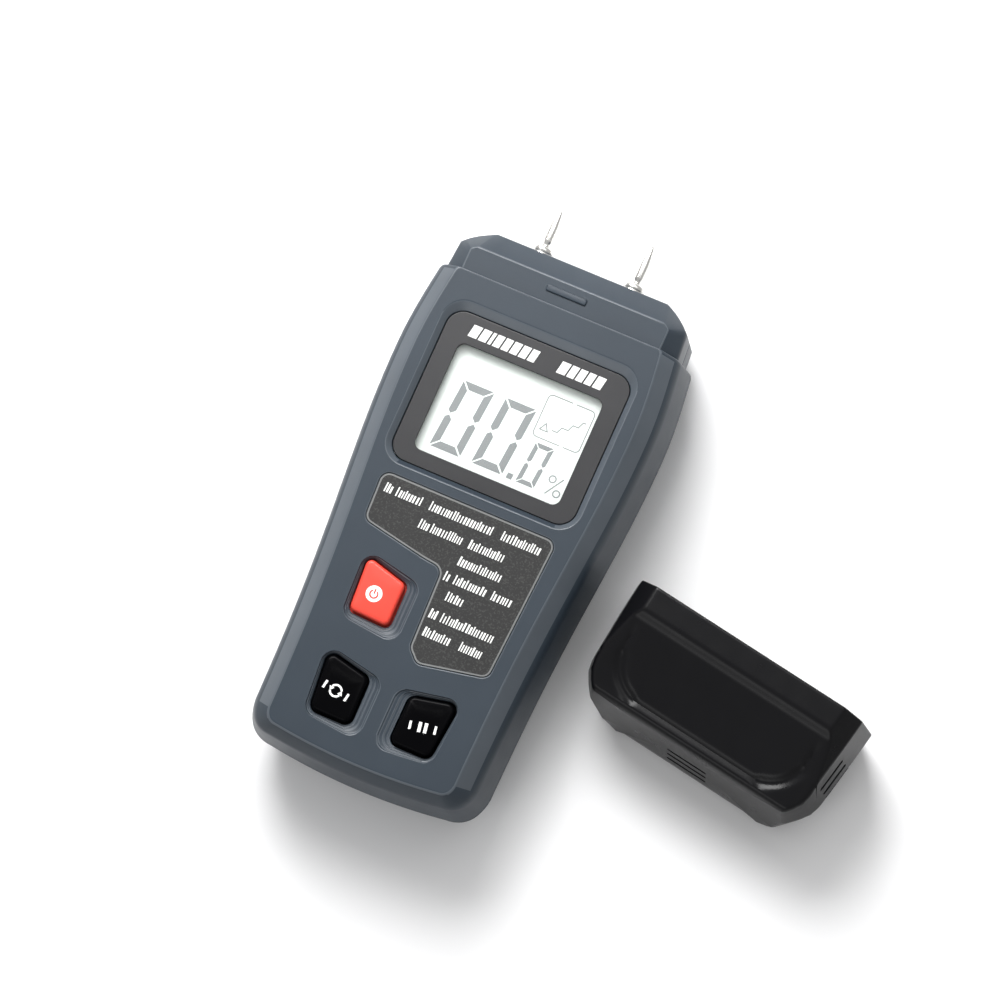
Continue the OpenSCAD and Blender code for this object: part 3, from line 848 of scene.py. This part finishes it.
displayLook = {
    "glass": 24.31, "slant": 0.08, "ink": 0.03,
    # x, y, width, height, stroke, gap
    "zeros": [(-14.3, 12.2, 7.2, 15.9, 1.65, 0.25), (-4.4, 12.2, 7.2, 15.9, 1.65, 0.25),
              (6, 12.1, 4.3, 9.6, 1, 0.16)],
    "frameLine": 0.24, "signLine": 0.26, "percentLine": 0.32,
    "border": 26.7, "barLow": 36.9, "barHigh": 39.7,
    "bars": [(-16, 2), (-13.6, 1.8), (-11.4, 0.7), (-10.3, 1.6), (-8.3, 1.6), (-6.3, 1.7), (-4.2, 1.7),
             (-2.1, 1.6), (4.8, 2), (7.2, 1.6), (9.2, 1.6), (11.2, 1.6), (13.2, 1.9)],
}


def digitZero(x, y, width, height, stroke, gap):
    # the six lit segments of a zero; the middle one stays off
    w, t, s, g = width, height, stroke, gap
    m = t / 2
    shapes = [
        [(g, t), (w - g, t), (w - g - s, t - s), (g + s, t - s)],
        [(g + s, s), (w - g - s, s), (w - g, 0), (g, 0)],
        [(0, t - g), (s, t - s - g), (s, m + g + s * 0.5), (s * 0.45, m + g * 0.8), (0, m + g + s * 0.35)],
        [(0, g), (0, m - g - s * 0.35), (s * 0.45, m - g * 0.8), (s, m - g - s * 0.5), (s, s + g)],
        [(w, t - g), (w, m + g + s * 0.35), (w - s * 0.45, m + g * 0.8), (w - s, m + g + s * 0.5),
         (w - s, t - s - g)],
        [(w, g), (w - s, s + g), (w - s, m - g - s * 0.5), (w - s * 0.45, m - g * 0.8),
         (w, m - g - s * 0.35)],
    ]
    return [[(x + px + py * displayLook["slant"], y + py) for px, py in shape] for shape in shapes]


def makeDisplay():
    d = displayLook
    low, high = d["glass"], d["glass"] + d["ink"]
    lit = []
    for zero in d["zeros"]:
        lit += digitZero(*zero)
    lit.append([(3.8, 12), (5.1, 12), (5.2, 13.3), (3.9, 13.3)])
    keep(plates("displayDigits", lit, low, high, finishes["segment"]), "meter", "lcd_glass")
    # percent sign
    line = d["percentLine"]
    faint = ribbon(arc(13.3, 15.6, 0.75, 0, 360, 16)[:-1], line, True)
    faint += ribbon(arc(15.3, 12.9, 0.75, 0, 360, 16)[:-1], line, True)
    faint += ribbon([(12.9, 12.1), (15.6, 16.4)], line)
    # frame of the level sign, open in three places
    line = d["frameLine"]
    right = arc(15, 31.5, 1, 90, 0, 4) + arc(15, 23.8, 1, 0, -90, 4)
    faint += ribbon(arc(6.2, 31.5, 1, 180, 90, 4) + [(10.6, 32.5)], line)
    faint += ribbon([(11.4, 32.5)] + right + [(12.4, 22.8)], line)
    faint += ribbon([(11.6, 22.8)] + arc(6.2, 23.8, 1, -90, -180, 4) + [(5.2, 31.5)], line)
    # steps and marker inside the frame
    line = d["signLine"]
    faint += ribbon([(8.8, 25.3), (10, 25.3), (10.6, 26.6), (12, 26.6), (12.6, 28), (13.8, 28), (14.4, 29.4),
                     (15, 29.4)], line)
    faint += ribbon([(6.2, 24.6), (7.1, 26.2), (8, 24.6)], line, True)
    keep(plates("displayMarks", faint, low, high, finishes["faintSegment"]), "meter", "lcd_glass")
    # slanted bars stand where the real border has printed words
    marks = []
    for start, width in d["bars"]:
        stop = start + width
        marks.append([(start, d["barLow"]), (stop, d["barLow"]), (stop + 0.5, d["barHigh"]),
                      (start + 0.5, d["barHigh"])])
    keep(plates("borderMarks", marks, d["border"], d["border"] + d["ink"], finishes["print"]),
         "meter", "mask_print")


makeDisplay()
print("display made")


def makeLabel():
    p = labelLook
    top = p["high"] - 0.01
    edge = shrink(roundedOutline(p["shape"], p["round"], 7), p["gap"])
    plate = prism("labelPlate", edge, p["low"], p["high"], finishes["label"], 0.04)
    keep(plate, "meter", "label_print", "label_plate")
    rim = ribbon(shrink(edge, p["rimIn"]), p["rimWidth"], True)
    keep(plates("labelOutline", rim, top, top + 0.025, finishes["line"]), "meter", "label_print")
    # plain stroke patterns stand where the real label has words
    random.seed(p["seed"])
    strokes = []
    for y, words in p["lines"]:
        for start, stop in words:
            x = start
            while x < stop - 0.5:
                tall = p["firstTall"] if x == start else random.choice(p["talls"])
                low = y - 0.9
                high = low + tall
                pen = random.choice(p["pens"])
                lean = p["slant"]
                strokes.append([(x, low), (x + pen, low), (x + pen + lean, high), (x + lean, high)])
                x += pen + random.choice(p["spaces"])
    keep(plates("labelStrokes", strokes, top, top + 0.03, finishes["print"]), "meter", "label_print")


makeLabel()
print("label made")


def makeKey(name, key, finish):
    p = keyLook
    shape = placed(roundedOutline(key["shape"], key["round"], 9), key)
    skirt = roundedOutline(grownOutline(key["shape"], p["skirt"]), key["round"] + p["skirt"], 9)
    skirt = placed(skirt, key)
    edge, low = p["edge"], p["low"]
    rings = [level(shrink(skirt, 0.05), low), level(skirt, low + 0.05), level(skirt, low + 0.72),
             level(shrink(skirt, 0.08), low + 0.8), level(shape, low + 0.82)]
    crown = p["top"] - p["crown"]
    for k in range(7):
        t = k / 6 * pi / 2
        rings.append(level(shrink(shape, edge * (1 - cos(t))), crown - edge * (1 - sin(t))))
    cx, cy = key["at"]
    cx -= 0.3 * key["mirror"]
    flat = shrink(shape, edge)
    for f in (0.12, 0.3, 0.5, 0.7, 0.86):
        ring = []
        for x, y in mixOutlines(flat, [(cx, cy)] * len(flat), f):
            z = crown + p["bulge"] * smooth(f * 2)
            ring.append((x, y, z))
        rings.append(ring)
    if name != "power":
        # the black keys dip towards their far edge
        for ring in rings[5:]:
            for k, (x, y, z) in enumerate(ring):
                rise = y - key["at"][1]
                z -= 0.2 * smooth((rise - 2.6) / 1.6) + 0.1 * smooth((rise - 4.5) / 1.5)
                ring[k] = (x, y, z)
    bm = bmesh.new()
    rows = stack(bm, rings)
    flatFill(bm, [rows[0]])
    flatFill(bm, [rows[-1]])
    return finishMesh(bm, name + "KeyTop", finish, 50)


keep(makeKey("power", keys["power"], finishes["red"]), "power_key", "red_key", "power_key")
keep(makeKey("mode", keys["mode"], finishes["blackKey"]), "mode_key", "black_key", "mode_key")
keep(makeKey("hold", keys["hold"], finishes["blackKey"]), "hold_key", "black_key", "hold_key")


def turned(shapes, angle, cx, cy):
    c, s = cos(radians(angle)), sin(radians(angle))
    return [[(cx + x * c - y * s, cy + x * s + y * c) for x, y in shape] for shape in shapes]


signLook = {"top": 28.63, "low": 28.3, "disc": 1.8, "tickAt": 2.5, "tickWidth": 0.5, "tickHalf": 0.9}


def sideTicks():
    # a short upright bar on each side of a key's sign
    t = signLook
    ticks = []
    for x in (-t["tickAt"] - t["tickWidth"], t["tickAt"]):
        ticks.append(boxOutline(x, x + t["tickWidth"], -t["tickHalf"], t["tickHalf"]))
    return ticks


def makeKeySigns():
    top, low = signLook["top"], signLook["low"]
    ink = finishes["whiteInk"]
    disc = arc(-11, -22.7, signLook["disc"], 0, 360, 48)[:-1]
    keep(plates("powerDisc", [disc], low, top, ink), "power_key", "red_key")
    sign = ribbon(arc(-11, -22.8, 0.85, 125, 415, 28), 0.34) + ribbon([(-11, -22.7), (-11, -21.6)], 0.34)
    keep(plates("powerSign", sign, top - 0.02, top + 0.02, finishes["red"]), "power_key", "red_key")
    # two half loops with arrow heads
    loop = ribbon(arc(0, 0, 1.25, 25, 160, 18), 0.42) + ribbon(arc(0, 0, 1.25, 205, 340, 18), 0.42)
    loop += [[(-1.75, 0.35), (-0.6, 0.35), (-1.2, -0.55)], [(1.75, -0.35), (0.6, -0.35), (1.2, 0.55)]]
    loop = turned(loop + sideTicks(), -10, -9.9, -45)
    keep(plates("modeSign", loop, low, top, ink), "mode_key", "black_key")
    # two upright bars
    bars = [boxOutline(-1, -0.3, -1.1, 1.1), boxOutline(0.3, 1, -1.1, 1.1)]
    bars = turned(bars + sideTicks(), 10, 10.4, -45)
    keep(plates("holdSign", bars, low, top, ink), "hold_key", "black_key")


makeKeySigns()
print("keys made")


pinLook = {
    "spread": 10.8, "z": 14, "end": 61,
    "profile": [(1.2, -8), (1.2, -0.2), (2.3, -0.02), (2.45, 0.15), (2.45, 0.7), (2.36, 0.85), (2.36, 1.2),
                (2.45, 1.35), (2.45, 2), (2.3, 2.3), (1.9, 2.62), (1.2, 2.78), (0.8, 2.9), (0.76, 3.1),
                (0.85, 3.6), (1.02, 3.95), (1.05, 4.2), (1.05, 7.4), (0.98, 8), (0.72, 9.9), (0.46, 11.3),
                (0.25, 11.7), (0.06, 11.9)],
}


def makePins():
    p = pinLook
    pieces = []
    for s in (-1, 1):
        name = "needlePinLeft" if s < 0 else "needlePinRight"
        centre = (s * p["spread"], p["end"], p["z"])
        pieces.append(lathe(name, p["profile"], centre, "y", finishes["pin"], 56, 50))
    return pieces


for pin in makePins():
    keep(pin, "meter", "steel", "electrode_pins")
print("pins made")


capLook = {
    "middle": (65, -15.5), "turn": -10, "half": 14, "topZ": 28, "collar": 7,
    "panelStart": 26.9, "panelEnd": 22.9, "panelHalf": 23.2, "panelLow": -8.7, "panelRound": 9,
    "noseHalf": 27.65, "noseTop": 26.65, "noseBack": 1.35,
    "grooveSize": (2, 8, 1), "grooveStep": 3, "sideGroove": 14, "endGroove": 8,
}


def capWidth(v):
    # half width seen from the front, with soft corners at the closed end
    full = bodyHalf(housing["shoulderY"]) - 0.04
    points = [(14, full), (7, full - 0.2), (-7.6, full - 0.9), (-14, full - 6.6)]
    for (v0, w0), (v1, w1) in zip(points, points[1:]):
        if v >= v1:
            return mix(w0, w1, (v - v0) / (v1 - v0)) - 0.5 * exp(-((v + 7.6) / 1.6) ** 2)
    return points[-1][1]


def capTop(v):
    c = capLook
    start = c["half"] - c["collar"]
    slope = mix(c["panelStart"], c["panelEnd"], (start - 1.2 - v) / 14.8)
    return mix(c["topZ"], slope, smooth((start + 0.9 - v) / 3)) - 0.001


def capEndV(z):
    # where the closed end lies at each height
    points = [(0, -12.4), (3, -14), (21.2, -11.4), (23, -10), (28, -7)]
    for (z0, v0), (z1, v1) in zip(points, points[1:]):
        if z <= z1:
            return mix(v0, v1, (z - z0) / (z1 - z0))
    return points[-1][1]


def capSection(width, top, inset):
    # right half of the section from the top middle round to the bottom middle
    ridge = 6 if top >= 27.99 else 1.9 + (top - 24) * 4.1 / 4
    if top < 24:
        ridge = 1.9 * (top - 14) / 10
    points = [(0, top)]
    points.append((width - max(ridge, 0.9), top))
    if top > 24.2:
        points.append((width - 1.9, 24))
    else:
        points.append((width - 0.95, 19))
    points += [(width, 14), (width - 1.9, 6), (width - 3.6, 1.4), (width - 5.4, 0), (0, 0)]
    path = filletPath(points, (1.4, 1.2, 3, 3, 1.2, 1), 4)
    right = []
    for x, z in path[1:-1]:
        right.append((x, z))
    first, last = right[0], right[-1]
    across = [(first[0] * k / 44, first[1]) for k in range(44)]
    bottom = [(last[0] * (1 - k / 8), last[1]) for k in range(1, 9)]
    half = across + right + bottom
    full = half + [(-x, z) for x, z in half[-2:0:-1]]
    return shrink(full, inset) if inset else full


def capPanelDip(u, v):
    # a shallow channel round the sloping panel, wider where it turns the panel's big corners
    edgeU, endV, radius = capLook["panelHalf"], capLook["panelLow"], capLook["panelRound"]
    start = capLook["half"] - capLook["collar"] - 1
    if v > start:
        return 0
    du = abs(u) - (edgeU - radius)
    dv = endV + radius - v
    if du > 0 and dv > 0:
        reach = (du * du + dv * dv) ** 0.5 - radius
        bend = smooth(min(du, dv) / 2.5)
    else:
        reach = max(du, dv) - radius
        bend = 0
    wide = 0.55 + 0.5 * bend
    return (0.45 + 0.35 * bend) * exp(-(reach / wide) ** 2) * smooth((start - v) / 4)


def capPoint(u, v, z):
    c, s = cos(radians(capLook["turn"])), sin(radians(capLook["turn"]))
    x, y = capLook["middle"]
    return (x + u * c - v * s, y + u * s + v * c, z)


def makeCap():
    rim = capLook["half"]
    rings = []
    # the rim's rounding, then the outside down to the closed end
    for v, inset in ((rim - 0.02, 0.32), (rim - 0.1, 0.14), (rim - 0.3, 0.02)):
        rings.append([capPoint(u, v, z) for u, z in capSection(capWidth(v), capTop(v), inset)])
    count = 46
    for k in range(count + 1):
        q = k / count
        ring = []
        vGuess = mix(rim - 0.6, -10.6, q)
        section = capSection(capWidth(vGuess), capTop(max(vGuess, -10.4)), 0)
        for u, z in section:
            v = mix(rim - 0.6, capEndV(z) + 0.6, q)
            wide = capWidth(v) / capWidth(vGuess)
            dip = capPanelDip(u * wide, v) if z > 20 else 0
            ring.append(capPoint(u * wide, v, z - dip))
        rings.append(ring)
    last = capSection(capWidth(-10.6), capTop(-10.4), 0)
    for k in range(1, 7):
        t = k / 6 * pi / 2
        ring = []
        for u, z in shrink(last, 0.6 * (1 - cos(t))):
            v = capEndV(z) + 0.6 * (1 - sin(t))
            wide = capWidth(v) / capWidth(-10.6)
            ring.append(capPoint(u * wide, v, z))
        rings.append(ring)
    for f in (0.08, 0.3, 0.6, 0.85):
        ring = []
        for u, z in shrink(last, 0.6):
            z = mix(z, 17.4, f)
            v = capEndV(z)
            wide = capWidth(v) / capWidth(-10.6)
            ring.append(capPoint(u * wide * (1 - f), v, z))
        rings.append(ring)
    # the hollow, from the rim back to its floor
    hollow = []
    for v, inset in ((rim - 0.02, 0.5), (rim - 0.2, 0.75), (rim - 1, 0.85)):
        hollow.append([capPoint(u, v, z) for u, z in capHollow(v, 0.85 - inset)])
    for v in (10, 6, 3, 0, -3, -6, -8.5, -10.2):
        hollow.append([capPoint(u, v, z) for u, z in capHollow(v, 0)])
    floor = [capPoint(u * 0.4, -10.6, mix(z, 11, 0.6)) for u, z in capHollow(-10.2, 0)]
    hollow.append(floor)
    bm = bmesh.new()
    outside = stack(bm, rings)
    inside = stack(bm, hollow)
    joinRings(bm, inside[0], outside[0])
    fanFill(bm, outside[-1])
    fanFill(bm, inside[-1])
    cap = finishMesh(bm, "pinCap", finishes["cap"], 38)
    cutters = []
    step = capLook["grooveStep"]
    for k in range(3):
        z = capLook["sideGroove"] + step * k
        for s in (-1, 1):
            u = s * (capWidth(1.2) - 0.19 * 3 * k - 0.5 + 1)
            cutters.append(grooveCutter((u, 1.2, z), capLook["grooveSize"]))
        z = capLook["endGroove"] + step * k
        v = -14 + (5 + 3 * k) / 7 + 0.5 - 1
        cutters.append(grooveCutter((0, v, z), (10, 2, 1)))
    cutWith(cap, cutters, 38)
    softNormals(cap)
    return cap


def capHollow(v, grow):
    # section of the nose's room, narrowing past the nose's end; same point count as the outside
    wide = capLook["noseHalf"]
    high = capLook["noseTop"]
    low = capLook["noseBack"]
    if v < 7:
        wide -= 0.2 * (7 - v)
    if v < 8:
        high = mix(high, 20, smooth((8 - v) / 16))
    if v < 3:
        low = mix(low, 4, smooth((3 - v) / 14))
    wide += grow
    high += grow
    low -= grow
    points = [(0, high), (wide - 4.2, high), (wide, high - 4), (wide, 13), (wide, low + 4)]
    points += [(wide - 2, low + 2), (wide - 4.2, low), (0, low)]
    path = filletPath(points, (0.8, 0.8, 0.2, 0.8, 0.2, 0.8), 4)[1:-1]
    across = [(path[0][0] * k / 44, path[0][1]) for k in range(44)]
    bottom = [(path[-1][0] * (1 - k / 8), path[-1][1]) for k in range(1, 9)]
    half = across + path + bottom
    return half + [(-x, z) for x, z in half[-2:0:-1]]


def grooveCutter(centre, size):
    # a slot with rounded edges, in the cap's own directions
    bm = bmesh.new()
    cu, cv, cz = centre
    du, dv, dz = (s / 2 for s in size)
    if size[0] < size[1]:
        outline = roundedOutline(boxOutline(-dv, dv, -dz, dz), 0.49, 5)
        rings = [[capPoint(cu + e, cv + a, cz + b) for a, b in outline] for e in (-du, du)]
    else:
        outline = roundedOutline(boxOutline(-du, du, -dz, dz), 0.49, 5)
        rings = [[capPoint(cu + a, cv + e, cz + b) for a, b in outline] for e in (-dv, dv)]
    rows = stack(bm, rings)
    bm.faces.new(rows[0])
    bm.faces.new(rows[1])
    return finishMesh(bm, "cutter", finishes["cap"])


keep(makeCap(), "cap", "cap_plastic", "cap")
print("cap made")


keptFinishes = {
    "lcd_glass": "lcd", "lcd_tray": "whitePlastic", "contact_strip": "rubber", "circuit_board": "board",
    "main_chip": "chip", "board_parts": "parts", "switch_housings": "chip", "power_plunger": "brass",
    "mode_plunger": "brass", "hold_plunger": "brass", "battery": "batterySkin", "battery_studs": "steel",
    "contact_block": "chip", "contact_springs": "brass", "battery_door": "slateDoor", "door_pad": "foam",
    "pin_sockets": "brass", "pin_leads": "brass", "case_screws": "steel", "board_screws": "steel",
}
roundedNodes = {"battery_door": 0.25, "battery": 0.4, "case_screws": 0.12, "battery_studs": 0.15}

for nodeName, finishName in keptFinishes.items():
    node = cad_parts[nodeName]
    node.data.materials.clear()
    node.data.materials.append(finishes[finishName])
    if nodeName in roundedNodes:
        bevel = node.modifiers.new("edges", "BEVEL")
        bevel.width = roundedNodes[nodeName] * mm
        bevel.segments = 3
        bevel.limit_method = "ANGLE"
        bevel.angle_limit = radians(40)
        bevel.harden_normals = False
        softNormals(node)
print("kept parts finished:", len(keptFinishes))


studio = {
    "floorTone": (0.86, 0.86, 0.865), "floorSize": 14.0, "sky": 0.5,
    # name: place, aim, width, height, power
    "lights": {
        "upperLeft": ((-0.6, 0.75, 0.9), (0.02, 0, 0), 0.7, 0.7, 5),
        "nearTop": ((-0.17, 0.3, 0.38), (0, 0.05, 0), 0.3, 0.3, 3.5),
        "overhead": ((0.34, 0.64, 1.5), (0.02, 0, 0), 1.1, 0.7, 3),
        "frontStrip": ((-0.3, -1.2, 0.98), (0.05, 0, 0), 1.3, 0.4, 3.6),
    },
}


def makeFloor():
    bm = bmesh.new()
    half = studio["floorSize"] / 2
    low = min(0, cadBox[0][2]) - 0.00005
    grid = 8
    for i in range(grid + 1):
        for k in range(grid + 1):
            bm.verts.new((mix(-half, half, i / grid), mix(-half, half, k / grid), low))
    bm.verts.ensure_lookup_table()
    for i in range(grid):
        for k in range(grid):
            a = i * (grid + 1) + k
            bm.faces.new((bm.verts[a], bm.verts[a + grid + 1], bm.verts[a + grid + 2], bm.verts[a + 1]))
    mesh = bpy.data.meshes.new("studioFloor")
    bm.to_mesh(mesh)
    bm.free()
    floor = bpy.data.objects.new("studioFloor", mesh)
    bpy.context.collection.objects.link(floor)
    mesh.materials.append(plasticFinish("floorPaper", {
        "colour": studio["floorTone"], "spread": 0.004, "driftScale": 3, "rough": (0.7, 0.8), "grain": 0.02}))


makeFloor()
print("floor made")


def softLight(name, place, aim, width, height, power):
    light = bpy.data.lights.new(name, "AREA")
    light.shape = "RECTANGLE"
    light.size = width
    light.size_y = height
    light.energy = power
    lamp = bpy.data.objects.new(name, light)
    bpy.context.collection.objects.link(lamp)
    lamp.location = place
    lamp.visible_camera = False
    lamp.rotation_euler = (Vector(aim) - Vector(place)).to_track_quat("-Z", "Y").to_euler()


for name, light in studio["lights"].items():
    softLight(name, *light)

world = bpy.data.worlds.new("studioSky")
world.use_nodes = True
sky = world.node_tree.nodes["Background"]
sky.inputs["Color"].default_value = (1, 1, 1, 1)
sky.inputs["Strength"].default_value = studio["sky"]
bpy.context.scene.world = world
bpy.context.scene.view_settings.view_transform = "Standard"


view = {
    "place": (0.2494, -0.2188, 1.4404), "ahead": (-0.1680, 0.1552, -0.9735), "up": (-0.3806, 0.9008, 0.2092),
    "lens": 244.8,
}


def makeCamera():
    camera = bpy.data.cameras.new("mainView")
    camera.lens = view["lens"]
    camera.sensor_width = 36
    camera.clip_start = 0.05
    camera.clip_end = 50
    shot = bpy.data.objects.new("mainView", camera)
    bpy.context.collection.objects.link(shot)
    ahead = Vector(view["ahead"]).normalized()
    up = Vector(view["up"]).normalized()
    side = ahead.cross(up).normalized()
    up = side.cross(ahead)
    turn = Matrix((side, up, -ahead)).transposed().to_4x4()
    shot.matrix_world = Matrix.Translation(view["place"]) @ turn
    bpy.context.scene.camera = shot


makeCamera()
print("lights and camera placed")


bpy.context.view_layer.update()
